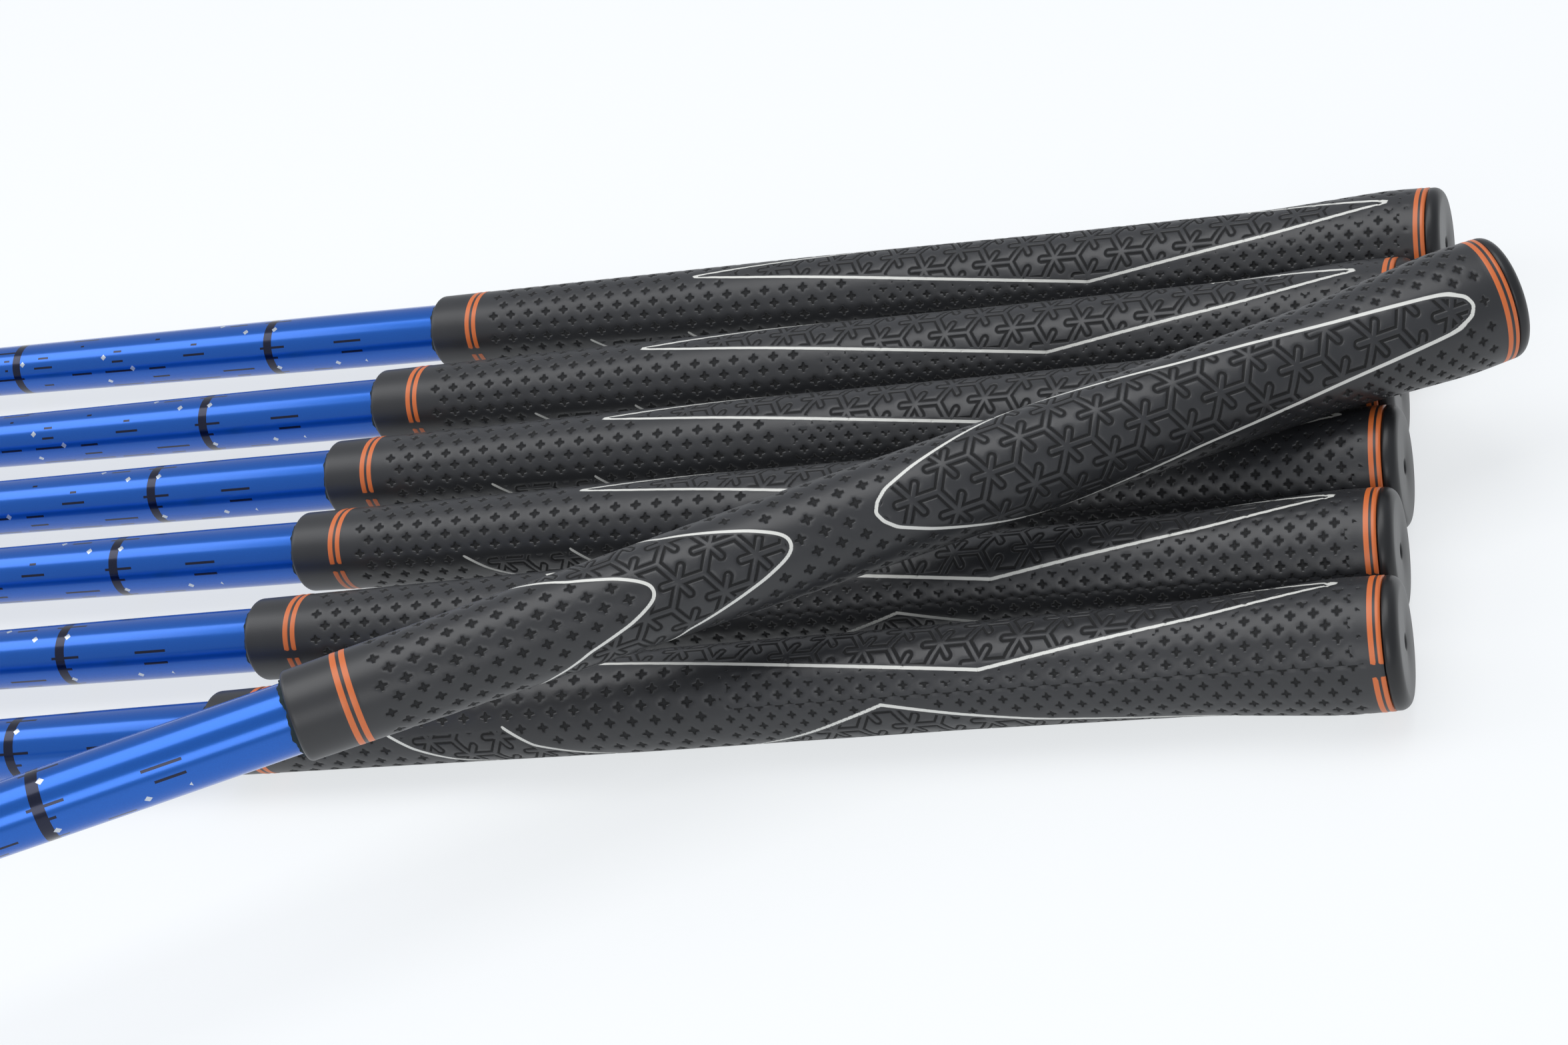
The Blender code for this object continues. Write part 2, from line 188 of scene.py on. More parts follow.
# A grid of points as one closed mesh, with values at its points and a map in mm. Its columns close on
# themselves, and its rows close too unless its first and last ones are capped.
def gridPiece(name, points, material, fields=None, flat=None, capped=False):
    rows, columns = points.shape[:2]
    last = rows - 1 if capped else rows
    row, column = [g.ravel() for g in np.meshgrid(np.arange(last), np.arange(columns), indexing="ij")]
    under, beside = (row + 1) % rows, (column + 1) % columns
    faces = np.stack((row * columns + column, row * columns + beside,
                      under * columns + beside, under * columns + column), axis=1).tolist()
    if capped:
        faces += [list(range(columns))[::-1], list(range((rows - 1) * columns, rows * columns))]
    mesh = bpy.data.meshes.new(name)
    mesh.from_pydata(points.reshape(-1, 3), [], faces)
    mesh.polygons.foreach_set("use_smooth", np.arange(len(faces)) < last * columns)
    for title, values in (fields or {}).items():
        data = mesh.attributes.new(title, "FLOAT", "POINT").data
        data.foreach_set("value", values.ravel().astype(np.float32))
    if flat is not None:
        along, start, step = flat
        across, upper, lower = start[column], along[row], along[under]
        corners = np.stack((np.stack((across, across + step, across + step, across), axis=1),
                            np.stack((upper, upper, lower, lower), axis=1)), axis=2)
        mesh.uv_layers.new(name="flat").data.foreach_set("uv", corners.ravel().astype(np.float32))
    mesh.materials.append(material)
    piece = bpy.data.objects.new(name, mesh)
    bpy.context.scene.collection.objects.link(piece)
    return piece


def fitPiece(piece, body, slot, *replaced):
    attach(piece, body)
    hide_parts(*replaced)


# Straight runs between stations, rounded by a running mean
def roundedRuns(stations, values, at, width):
    step = width / 40
    fine = np.arange(stations[0] - width, stations[-1] + width + step, step)
    first = (values[1] - values[0]) / (stations[1] - stations[0])
    last = (values[-1] - values[-2]) / (stations[-1] - stations[-2])
    runs = np.interp(fine, stations, values)
    runs += first * np.minimum(fine - stations[0], 0) + last * np.maximum(fine - stations[-1], 0)
    window = np.hanning(41)
    return np.interp(at, fine, np.convolve(runs, window / window.sum(), "same"))


# The moulded pattern of the grip, in mm. Lines are (degrees from the middle of their side, share of the
# grip's length from its mouth), and bands are (distance from the mouth, half width). The main, second and
# third lines are on side a, which faces up on the club across the top and down on the row.
pattern = {
    "length": 267.0,
    "radius": 11.4,
    "lineWidth": 0.74,
    "mainFront": ((0, 0.468), (11, 0.472), (22, 0.481), (37.5, 0.506), (55, 0.54), (71, 0.57), (88, 0.605),
                  (120, 0.67)),
    "mainBack": ((0, 0.957), (9, 0.953), (18, 0.938), (30, 0.862), (41, 0.794), (52, 0.726), (69, 0.665),
                 (88, 0.605), (120, 0.50)),
    "second": ((0, 0.3995), (4, 0.399), (8, 0.3975), (12.6, 0.394), (17, 0.389), (22, 0.382),
               (28.6, 0.372), (48, 0.337), (66, 0.306), (94, 0.283)),
    "third": ((0, 0.2895), (4, 0.289), (8, 0.2875), (13.5, 0.283), (20, 0.2755), (27.5, 0.265),
              (46.5, 0.229), (73, 0.197), (95, 0.177)),
    "otherFront": ((0, 0.283), (10, 0.334), (41, 0.539), (62, 0.686), (90, 0.86)),
    "otherBack": ((0, 0.960), (25, 0.849), (45, 0.759), (62, 0.686), (90, 0.56)),
    "lineEnd": 94.0,
    "treadEdge": 5.6,
    "treadStretch": 1.13,
    "treadOvershoot": 3.25,
    "treadBar": 0.75,
    "treadGroove": 0.28,
    "treadStart": 4.1,
    "treadMargin": 0.9,
    "bands": ((11.4, 0.62), (13.4, 0.62), (261.75, 0.52), (263.45, 0.52)),
    "bandBreak": 1.1,
}

# Moulded crosses on staggered lattices: wide ones towards the mouth, small close ones towards the butt.
# The pitch is mm along and degrees round, arm and waist are the cross's half sizes in mm, and point says at
# how many arms its diamonds would end.
marks = {
    "mouth": {"pitch": (5.25, 36.0), "start": 3.75, "arm": 1.22, "waist": 0.56, "point": 1.7,
              "from": 17.0, "to": 126.0},
    "butt": {"pitch": (4.55, 24.0), "start": 3.1, "arm": 0.95, "waist": 0.43, "point": 1.7,
             "from": 126.0, "to": 260.0},
}


# How far a point lies past a line, square to it, in mm: positive on the butt's side
def pastLine(points, mouth, angle):
    grid = np.linspace(-240, 240, 1921)
    angles, shares = np.array(points, float).T
    window = np.hanning(41)
    straight = np.interp(np.abs(grid), angles, shares) * pattern["length"]
    line = np.convolve(straight, window / window.sum(), "same")
    slope = np.gradient(line, grid) / (pattern["radius"] * math.pi / 180)
    return (mouth - np.interp(angle, grid, line)) / np.sqrt(1 + np.interp(angle, grid, slope) ** 2)


# Depth inside the treaded panels (negative outside) and distance to the nearest silver line
def panelField(mouth, angle):
    other = (angle + 360) % 360 - 180
    aside = np.abs(angle)
    front, back, second, third = [pastLine(pattern[line], mouth, angle)
                                  for line in ("mainFront", "mainBack", "second", "third")]
    otherFront, otherBack = [pastLine(pattern[line], mouth, other) for line in ("otherFront", "otherBack")]
    main, reverse = np.minimum(front, -back), np.minimum(otherFront, -otherBack)
    beyond = roundGrip(aside - pattern["lineEnd"])
    band = np.minimum(np.minimum(-second, third), -beyond)
    panel = np.maximum(np.maximum(main, reverse), band)
    lines = np.minimum(np.abs(main), np.abs(reverse))
    for line in (second, third):
        lines = np.minimum(lines, np.hypot(line, np.maximum(beyond, 0)))
    return panel, lines


# Millimetres round the grip for an angle
def roundGrip(angle):
    return angle * (pattern["radius"] * math.pi / 180)


# Depth inside the tread's grooves. The grooves run round three-armed bars: from each node of one half of a
# honeycomb, arms run to the three nodes about it and on past them. The nearest node is found, its cell is
# folded to one arm's half, and the distance is the lesser of that to the arm and to a neighbour's overrun.
def treadGroove(along, around):
    edge = pattern["treadEdge"]
    x, y = along - pattern["treadStart"], around / pattern["treadStretch"]
    length, width = 3 * edge, math.sqrt(3) * edge
    nearX, nearY = wrapAbout(x, length), wrapAbout(y, width)
    farX, farY = wrapAbout(x + length / 2, length), wrapAbout(y + width / 2, width)
    swap = below(farX * farX + farY * farY, nearX * nearX + nearY * nearY)
    x, y = nearX + swap * (farX - nearX), nearY + swap * (farY - nearY)
    reach = root(x * x + y * y)
    turn = abs(wrapAbout(turnTo(y, x) - math.pi / 3, 2 * math.pi / 3))
    u, v = reach * cosine(turn) - edge, reach * sine(turn)
    run = least(most(v * math.sqrt(0.75) - u * 0.5, 0.0), pattern["treadOvershoot"])
    u, w = u + run * 0.5, v - run * math.sqrt(0.75)
    bar = least(v, root(u * u + w * w))
    return pattern["treadGroove"] - abs(bar - pattern["treadBar"])


# Depth inside blunt crosses on a staggered lattice: two crossed diamonds, cut off square at the arms' ends
def crossMark(mark, along, around):
    arm, waist, step = mark["arm"], mark["waist"], roundGrip(mark["pitch"][1])
    point = arm * mark["point"]
    crosses = []
    for share in (0.0, 0.5):
        dx = abs(wrapAbout(along - (mark["start"] + share * mark["pitch"][0]), mark["pitch"][0]))
        dy = abs(wrapAbout(around - share * step, step))
        diamonds = (1 - least(dx / point + dy / waist, dx / waist + dy / point)) * (0.9 * waist)
        crosses.append(least(diamonds, arm - most(dx, dy)))
    return most(*crosses)


# 1 where the nearest cross is moulded: none near a line, inside a panel or outside its own zone
def markKept(mark, mouth, angle):
    pitch, start, arm = mark["pitch"], mark["start"], mark["arm"]
    kept, nearest = np.zeros(mouth.shape), np.full(mouth.shape, 99.0)
    for share in (0.0, 0.5):
        x = (np.round((mouth - start) / pitch[0] - share) + share) * pitch[0] + start
        y = (np.round(angle / pitch[1] - share) + share) * pitch[1]
        away = np.hypot(mouth - x, roundGrip(angle - y))
        panel, lines = panelField(x, (y + 180) % 360 - 180)
        keep = (panel < -arm) & (lines > arm + 0.25) & (x > mark["from"] + arm) & (x < mark["to"] - arm)
        kept, nearest = np.where(away < nearest, keep, kept), np.minimum(away, nearest)
    return kept.astype(float)


# Depth inside any groove or mark, given the depth inside the panels and which marks are kept
def grooveDepth(along, around, panel, kept):
    depth = least(treadGroove(along, around), panel - pattern["treadMargin"])
    unseen = 5  # mm of depth taken from a mark that isn't kept, so that it never shows
    for zone, mark in marks.items():
        depth = most(depth, crossMark(mark, along, around) - (1 - kept[zone]) * unseen)
    return depth


# An angle from the middle of the nearer side
def fromOwnSide(angle):
    return np.where(np.abs(angle) < 95, angle, (angle + 360) % 360 - 180)


# The pattern's fields over a grip, in mm: positive inside a line, a band or a panel
def gripFields(mouth, angle):
    panel, lines = panelField(mouth, angle)
    band = np.max([half - np.abs(mouth - centre) for centre, half in pattern["bands"]], axis=0)
    gap = roundGrip(np.abs(np.abs(angle) - 90)) - pattern["bandBreak"]
    fields = {"line": pattern["lineWidth"] / 2 - lines, "band": np.minimum(band, gap), "panel": panel}
    return fields | {zone: markKept(mark, mouth, angle) for zone, mark in marks.items()}


def eased(value, low, high):
    share = np.clip((value - low) / (high - low), 0, 1)
    return share * share * (3 - 2 * share)


# Grain sizes of the materials' noise, and the depth of their relief
grains = {"dust": 11.1111 * mm, "skin": 0.384615 * mm, "flake": 0.25 * mm, "wear": 4.54545 * mm,
          "skinDepth": 0.1 * mm, "grooveDepth": 0.3 * mm, "scoreDepth": 0.4 * mm}


# Moulded rubber sleeve: dark matt grey, with silver and orange paint filled into its lines, and painted shade
# darkening its grooves and crosses
def rubberMaterial():
    material, tree, shader = newMaterial("moulded_grip_rubber")
    around, along = flatMap(tree)
    kept = {zone: field(tree, zone) for zone in marks}
    groove = grooveDepth(along, around, field(tree, "panel"), kept)
    cutShare = ramp(groove, -0.06, 0.10)
    line, band = ramp(field(tree, "line"), -0.05, 0.05), ramp(field(tree, "band"), -0.05, 0.05)
    place = addNode(tree, "ShaderNodeTexCoord").outputs["Object"]
    dust = addNode(tree, "ShaderNodeTexNoise", {"Vector": place, "Scale": 1 / grains["dust"], "Detail": 4.0})
    body = mixColour(tree, dust.outputs["Fac"], linear("#1f2022"), linear("#2b2c2f"))
    # Painted shade: groove middles near black and the deeper crosses' floors a little lighter, both darker
    # than the rubber itself
    grooveShade = mixColour(tree, ramp(groove, 0.14, 0.36), linear("#030303"), linear("#17181a"))
    cut = mixColour(tree, cutShare, body, grooveShade)
    striped = mixColour(tree, band, cut, linear("#d06a30"))
    painted = mixColour(tree, line, striped, linear("#dadad4"))
    grain = addNode(tree, "ShaderNodeTexNoise", {"Vector": place, "Scale": 1 / grains["skin"], "Detail": 2.0})
    skin = addNode(tree, "ShaderNodeBump", {"Height": grain.outputs["Fac"], "Strength": 0.12,
                                            "Distance": grains["skinDepth"]})
    edge = addNode(tree, "ShaderNodeBump", {"Height": ramp(groove, -0.16, 0.16), "Strength": 0.7,
                                            "Distance": grains["grooveDepth"],
                                            "Normal": skin.outputs["Normal"]}, invert=True)
    rough = addNode(tree, "ShaderNodeMapRange", {"Value": cutShare, "To Min": 0.41, "To Max": 0.9})
    setInputs(tree, shader, {"Base Color": painted, "Roughness": rough.outputs[0],
                             "Specular IOR Level": 0.6, "Normal": edge.outputs["Normal"]})
    return material


# Angle of the middle of side a round each grip, from level towards the camera over the top
sideTurns = {"iron_5": 268.0, "iron_6": 272.0, "iron_7": 277.0, "iron_8": 282.0, "iron_9": 286.0,
             "pitching_wedge": 289.0, "sand_wedge": 37.0}
grips = {"fine": (552, 176), "plain": (430, 140), "finest": "sand_wedge", "rounding": 16 * mm,
         "grooveDepth": 0.22 * mm, "lineDepth": 0.08 * mm, "bandRise": 0.10 * mm, "lip": 1.0 * mm}


def addGrip(club):
    name = club["name"]
    rows, columns = grips["fine" if name == grips["finest"] else "plain"]
    stations, radii, bore = outlineOf(club, "_grip")
    start, end = stations[0], stations[-1]
    lip = grips["lip"]
    along = np.linspace(start, end - lip, rows)
    turns = np.linspace(0, 2 * math.pi, columns, endpoint=False)
    radius = roundedRuns(stations[:-1], radii[:-1], along, grips["rounding"])
    angle = (np.degrees(turns) - sideTurns[name] + 180) % 360 - 180
    mouth = (end - along) / mm
    fields = gripFields(*np.meshgrid(mouth, angle, indexing="ij"))
    rise = grips["bandRise"] * eased(fields["band"], -0.2, 0.35)
    around = roundGrip(fromOwnSide(angle))
    groove = grooveDepth(*np.meshgrid(mouth, around, indexing="ij"), fields["panel"], fields)
    sink = grips["grooveDepth"] * eased(groove, -0.3, 0.25)
    sink += grips["lineDepth"] * eased(fields["line"], -0.2, 0.2)
    # The mouth: a quarter round, a flat ring and the bore back to the butt
    curl = np.linspace(0, math.pi / 2, 6)[1:]
    closing = np.concatenate((end - lip + lip * np.sin(curl), [end, end - 2 * lip, start]))
    narrow = np.concatenate((radius[-1] - lip + lip * np.cos(curl), [bore, bore, bore]))
    points = np.concatenate((turnedPoints(club, along, radius[:, None] + rise - sink, turns),
                             turnedPoints(club, closing, narrow, turns)))
    plain = np.full((len(closing), columns), -1.0)
    values = {title: np.concatenate((value, plain)) for title, value in fields.items()}
    mapAlong = np.concatenate((mouth, np.zeros(len(closing))))
    flat = (mapAlong, around, roundGrip(360 / columns))
    piece = gridPiece(name + "_moulded_grip", points, materials["rubber"], values, flat)
    fitPiece(piece, name, "grip_rubber", name + "_grip")


# Grip cap: smoother rubber, so a little shine on its rim
def capMaterial():
    material, tree, shader = newMaterial("smooth_cap_rubber")
    setInputs(tree, shader, {"Base Color": linear("#151618"), "Roughness": 0.38,
                             "Specular IOR Level": 0.5})
    return material


caps = {"columns": 96, "rim": 2.4 * mm, "vent": 1.5 * mm, "ventEdge": 0.5 * mm, "dish": 0.25 * mm}


# A rounded rim, a face that falls slightly to the vent hole, the hole, and the plug in the bore
def addCap(club):
    name = club["name"]
    along, radius = stationsOf(club, "_grip_cap")
    outer, depth = radius.max(), along[radius > radius.max() - 0.1 * mm].max()
    plugEnd = along.max()
    plug = radius[along > plugEnd - 0.1 * mm].max()
    rim, vent = caps["rim"], caps["vent"]
    curl = np.linspace(0, math.pi / 2, 12)
    s = np.concatenate(([plugEnd, plugEnd, depth, depth], rim - rim * np.sin(curl),
                        [caps["dish"], 2 * caps["dish"]]))
    r = np.concatenate(([vent, plug, plug, outer], outer - rim + rim * np.cos(curl),
                        [vent + caps["ventEdge"], vent]))
    turns = np.linspace(0, 2 * math.pi, caps["columns"], endpoint=False)
    points = turnedPoints(club, s, r, turns)[::-1]
    piece = gridPiece(name + "_moulded_cap", points, materials["cap"])
    fitPiece(piece, name, "cap_rubber", name + "_grip_cap")


# A map cut into cells: the place in a cell from its middle, and the cell's own chance from 0 to 1
def printCells(around, along, width, length):
    tree = around.tree
    cell = {0: floor(around / width).socket, 1: floor(along / length).socket}
    key = addNode(tree, "ShaderNodeCombineXYZ", cell).outputs[0]
    chance = addNode(tree, "ShaderNodeTexWhiteNoise", {"Vector": key}, noise_dimensions="2D")
    return (wrap(around, width, 0.0) - width / 2, wrap(along, length, 0.0) - length / 2,
            Signal(tree, chance.outputs["Value"]))


# The shaft's print, in mm: cells are (round, along), and the print starts so far from the butt. A dash is
# longer the further its cell's chance is above the dash's own. A lozenge shows where the chance is below its.
shaftPrint = {"dashCell": (2.98, 13.0), "dashHalf": 0.32, "dashChance": 0.50,
              "lozengeCell": (3.98, 9.5), "lozengeHalf": 0.9, "lozengeChance": 0.18,
              "ringFirst": 62.0, "ringPitch": 86.0, "ringHalf": 1.3, "start": 290.0}


# Lacquered shaft: blue metallic base under clear lacquer, so a bright streak and deep edges, with a
# printed pattern of navy dashes along the shaft, navy rings and small silver lozenges
def shaftMaterial():
    material, tree, shader = newMaterial("blue_lacquered_shaft")
    around, along = flatMap(tree)
    across, down, chance = printCells(around, along, *shaftPrint["dashCell"])
    reach = (chance - shaftPrint["dashChance"]) * shaftPrint["dashCell"][1]
    dash = below(abs(across), shaftPrint["dashHalf"]) * below(abs(down), reach)
    across, down, chance = printCells(around, along, *shaftPrint["lozengeCell"])
    diamond = below(abs(across) + abs(down), shaftPrint["lozengeHalf"])
    lozenge = diamond * below(chance, shaftPrint["lozengeChance"])
    ringPlace = wrapAbout(along - shaftPrint["ringFirst"], shaftPrint["ringPitch"])
    ring = below(abs(ringPlace), shaftPrint["ringHalf"])
    shown = below(shaftPrint["start"], along)
    ink, silver = (most(dash, ring) * shown).socket, (lozenge * shown).socket
    place = addNode(tree, "ShaderNodeTexCoord").outputs["Object"]
    flake = addNode(tree, "ShaderNodeTexNoise", {"Vector": place, "Scale": 1 / grains["flake"]})
    blue = mixColour(tree, flake.outputs["Fac"], linear("#0a54b0"), linear("#1262c2"))
    inked = mixColour(tree, ink, blue, linear("#0a1230"))
    dotted = mixColour(tree, silver, inked, linear("#c4ccd6"))
    setInputs(tree, shader, {"Base Color": dotted, "Metallic": 0.60, "Roughness": 0.22,
                             "Coat Weight": 0.35, "Coat Roughness": 0.12})
    return material


shafts = {"rows": 60, "columns": 72}


def addShaft(club):
    name = club["name"]
    stations, radii, narrowest = outlineOf(club, "_shaft")
    tip = radii[-1]
    wall = tip - narrowest
    outer = np.linspace(stations[0], stations[-1], shafts["rows"])
    along = np.concatenate((outer, outer[[-1, 0]]))
    radius = np.concatenate((np.interp(outer, stations, radii), np.array((tip, radii[0])) - wall))
    turns = np.linspace(0, 2 * math.pi, shafts["columns"], endpoint=False)
    flat = (along / mm, turns * radii[0] / mm, turns[1] * radii[0] / mm)
    points = turnedPoints(club, along, radius, turns)
    piece = gridPiece(name + "_lacquered_shaft", points, materials["shaft"], flat=flat)
    fitPiece(piece, name, "shaft_lacquer", name + "_shaft")


# Grip tape edge: dark paper with dried solvent, no shine
def tapeMaterial():
    material, tree, shader = newMaterial("grip_tape_paper")
    setInputs(tree, shader, {"Base Color": linear("#12262c"), "Roughness": 0.85})
    return material


tapes = {"columns": 120, "ragged": 0.25 * mm}


# Thin tube whose end wanders a little where it shows at the mouth
def addTape(club):
    name = club["name"]
    along, radius = stationsOf(club, "_grip_tape")
    turns = np.linspace(0, 2 * math.pi, tapes["columns"], endpoint=False)
    s = np.array((along.min(), along.max(), along.max(), along.min()))
    r = np.array((radius.max(), radius.max(), radius.min(), radius.min()))
    points = turnedPoints(club, s, r, turns)
    waves = np.sin(5 * turns + 1) + 0.6 * np.sin(13 * turns) + 0.4 * np.sin(29 * turns)
    points[1:3] -= (tapes["ragged"] * waves)[None, :, None] * club["axis"]
    piece = gridPiece(name + "_tape_edge", points, materials["tape"])
    fitPiece(piece, name, "grip_tape", name + "_grip_tape")


# Polished black plastic, a clear reflection
def ferruleMaterial():
    material, tree, shader = newMaterial("polished_black_plastic")
    setInputs(tree, shader, {"Base Color": linear("#0c0c0d"), "Roughness": 0.15, "Coat Weight": 0.4})
    return material


ferrules = {"columns": 72, "rows": 40, "wall": 0.6 * mm}


def addFerrule(club):
    name = club["name"]
    stations, radii, bore = outlineOf(club, "_ferrule")
    outer = np.linspace(stations[0], stations[-1], ferrules["rows"])
    along = np.concatenate((outer, outer[[-1, 0]]))
    radius = np.concatenate((np.interp(outer, stations, radii), (bore, radii[0] - ferrules["wall"])))
    turns = np.linspace(0, 2 * math.pi, ferrules["columns"], endpoint=False)
    points = turnedPoints(club, along, radius, turns)
    piece = gridPiece(name + "_turned_ferrule", points, materials["ferrule"])
    fitPiece(piece, name, "ferrule_plastic", name + "_ferrule")


# Iron heads, in mm and degrees: sizes, the shares of the toe's rounding that have a section, and the score
# lines on the face
heads = {
    "loft": {"iron_5": 27.0, "iron_6": 30.0, "iron_7": 34.0, "iron_8": 38.0, "iron_9": 42.5,
             "pitching_wedge": 47.0, "sand_wedge": 55.0},
    "lie": {"iron_5": 61.0, "iron_6": 61.5, "iron_7": 62.0, "iron_8": 62.5, "iron_9": 63.0,
            "pitching_wedge": 63.5, "sand_wedge": 64.0},
    "hosel": 66.0, "hoselRadius": 6.6, "bore": 5.0, "boreDepth": 30.0, "neck": 27.0,
    "heel": 14.0, "toe": 75.0, "toeRound": 16.0, "crest": 9.0, "crestRise": 2.2,
    "heelHeight": 31.0, "toeHeight": 57.0, "sole": 21.0, "soleRise": 2.5, "topline": 5.6, "blade": 8.2,
    "leading": 4.0, "faceWall": 3.0, "cavityRim": 6.0, "cavityHeel": 24.0, "cavityCorner": 4.5,
    "toeShares": (0.22, 0.42, 0.61, 0.78, 0.90, 0.965, 0.992, 0.9997),
    "scorePitch": 3.6, "scoreFirst": 7.5, "scoreLast": 32.7, "scoreWidth": 0.9, "scoreHeel": 22.0,
    "scoreToe": 58.0,
}


# Cast steel with satin chrome: soft broad reflections, a little uneven, and lines cut in the face, darkened
# with painted shade
def steelMaterial():
    material, tree, shader = newMaterial("satin_chrome_steel")
    place = addNode(tree, "ShaderNodeTexCoord").outputs["Object"]
    wear = addNode(tree, "ShaderNodeTexNoise", {"Vector": place, "Scale": 1 / grains["wear"], "Detail": 3.0})
    rough = addNode(tree, "ShaderNodeMapRange", {"Value": wear.outputs["Fac"], "To Min": 0.24,
                                                 "To Max": 0.36})
    toe, height = field(tree, "toe"), field(tree, "height")
    pitch, first, last = heads["scorePitch"], heads["scoreFirst"], heads["scoreLast"]
    across = heads["scoreWidth"] / 2 - abs(wrapAbout(height - first, pitch))
    ends = least(least(toe - heads["scoreHeel"], heads["scoreToe"] - toe),
                 least(height - (first - pitch / 2), (last + pitch / 2) - height))
    score = least(least(across, ends), field(tree, "face") - 0.5)
    cut = ramp(score, -0.08, 0.12)
    edge = addNode(tree, "ShaderNodeBump", {"Height": cut, "Strength": 0.6,
                                            "Distance": grains["scoreDepth"]}, invert=True)
    # Painted shade: the score lines take a darker steel colour, as if shaded inside the cut, besides their
    # bump
    setInputs(tree, shader, {"Base Color": mixColour(tree, cut, linear("#c9cacc"), linear("#4a4b4e")),
                             "Metallic": 1.0, "Roughness": rough.outputs[0],
                             "Normal": edge.outputs["Normal"]})
    return material


# Smooth curves through rows of points: cubic spans whose tangents weigh the slopes on both sides
def smoothed(points, steps, closed):
    first, last = 2 * points[:, :1] - points[:, 1:2], 2 * points[:, -1:] - points[:, -2:-1]
    ends = (points[:, -1:], points[:, :2]) if closed else (first, last)
    run = np.concatenate((ends[0], points, ends[1]), axis=1)
    gap = np.maximum(np.linalg.norm(np.diff(run, axis=1), axis=2, keepdims=True), 1e-6)
    slope = np.diff(run, axis=1) / gap
    tangent = (slope[:, :-1] * gap[:, 1:] + slope[:, 1:] * gap[:, :-1]) / (gap[:, 1:] + gap[:, :-1])
    spans = []
    for i, count in enumerate(steps):
        t = (np.arange(count) / count)[:, None]
        ease, leave, arrive = 3 * t ** 2 - 2 * t ** 3, t ** 3 - 2 * t ** 2 + t, t ** 3 - t ** 2
        near, far = run[:, i + 1, None], run[:, i + 2, None]
        pull = leave * tangent[:, i, None] + arrive * tangent[:, i + 1, None]
        spans.append((1 - ease) * near + ease * far + gap[:, i + 1, None] * pull)
    return np.concatenate(spans if closed else spans + [points[:, -1:]], axis=1)


# Between head space (towards the toe, ahead of the face, up) and the face's (toe, height, depth behind)
def faceToHead(points, loft):
    toe, height, depth = np.moveaxis(points, -1, 0)
    front = heads["leading"] - height * math.sin(loft) - depth * math.cos(loft)
    return np.stack((toe, front, height * math.cos(loft) - depth * math.sin(loft)), axis=-1)


def headToFace(points, loft):
    toe, front, up = np.moveaxis(points, -1, 0)
    back = heads["leading"] - front
    return np.stack((toe, up * math.cos(loft) + back * math.sin(loft),
                     back * math.cos(loft) - up * math.sin(loft)), axis=-1)


def toplineHeight(toe):
    full = heads["toe"] - heads["toeRound"]
    stations = (heads["heel"], full - heads["crest"], full)
    return np.interp(toe, stations, (heads["heelHeight"], heads["toeHeight"] - heads["crestRise"],
                                     heads["toeHeight"]))


# One blade section, 16 points round: up the face, over the topline, down the back and along the sole.
# Towards the toe it shrinks about its middle by a quarter ellipse.
def bladeSection(toe, loft):
    top, blade, sole = toplineHeight(toe), heads["blade"], heads["sole"]
    reach = (toe - heads["heel"]) / (heads["toe"] - heads["heel"])
    rise = heads["soleRise"] * (2 * reach - 0.9) ** 2
    under = headToFace(np.array([(toe, heads["leading"] - share * sole, up) for share, up in
                                 ((1.0, 0.15 * sole), (0.80, rise), (0.42, rise))]), loft)[:, 1:]
    climb, step = 0.88 * top - under[0, 0], max(under[0, 1], 1.5 * blade) - blade
    face = [(share * top, 0.0) for share in (0.10, 0.30, 0.52, 0.74, 0.94)]
    over = [(share * top, depth * heads["topline"])
            for share, depth in ((0.99, 0.12), (1.0, 0.5), (0.985, 1.0))]
    back = [(under[0, 0] + share * climb, blade + depth * step)
            for share, depth in ((1.0, 0.0), (0.62, 0.0), (0.40, 0.5), (0.18, 0.91))]
    points = np.array(face + over + back + under.tolist() + [(0.035 * top, 0.6)])
    past = max(0.0, toe - heads["toe"] + heads["toeRound"]) / heads["toeRound"]
    shrink = math.sqrt(1 - past * past)
    points[:, 0] = 0.45 * top + (points[:, 0] - 0.45 * top) * shrink
    points[:, 1] *= 0.35 + 0.65 * shrink
    return faceToHead(np.column_stack((np.full(len(points), toe), points)), loft)


# Rings down the hosel, a neck that leaves along the shaft and arrives along the blade, and blade sections
def headSections(loft, lie):
    shaft = np.array((-math.cos(lie), 0, math.sin(lie)))
    across = np.array((math.sin(lie), 0, math.cos(lie)))
    turns = np.radians(22.5 * (np.arange(16) - 2))[:, None]
    circle = np.cos(turns) * (0, 1, 0) + np.sin(turns) * across
    levels = [heads["neck"] + up * (heads["hosel"] - heads["neck"]) for up in (1.0, 0.5, 0.1, 0.0)]
    rings = [heads["hoselRadius"] * circle + shaft * level for level in levels]
    lower = rings[-1]
    full = heads["toe"] - heads["toeRound"]
    crest = full - heads["crest"]
    stations = [heads["heel"], (heads["heel"] + crest) / 2, crest, full]
    stations += [full + heads["toeRound"] * share for share in heads["toeShares"]]
    blade = [bladeSection(toe, loft) for toe in stations]
    pull = np.linalg.norm(blade[0] - lower, axis=1)[:, None]
    neck = []
    for t in (0.25, 0.5, 0.75):
        ease = 3 * t ** 2 - 2 * t ** 3
        bend = (t ** 3 - 2 * t ** 2 + t) * -shaft + (t ** 3 - t ** 2) * np.array((1, 0, 0))
        neck.append((1 - ease) * lower + ease * blade[0] + pull * bend)
    bore = [heads["bore"] * circle + shaft * (heads["hosel"] - depth) for depth in (heads["boreDepth"], 0)]
    return np.array(bore), np.array(rings + neck + blade)


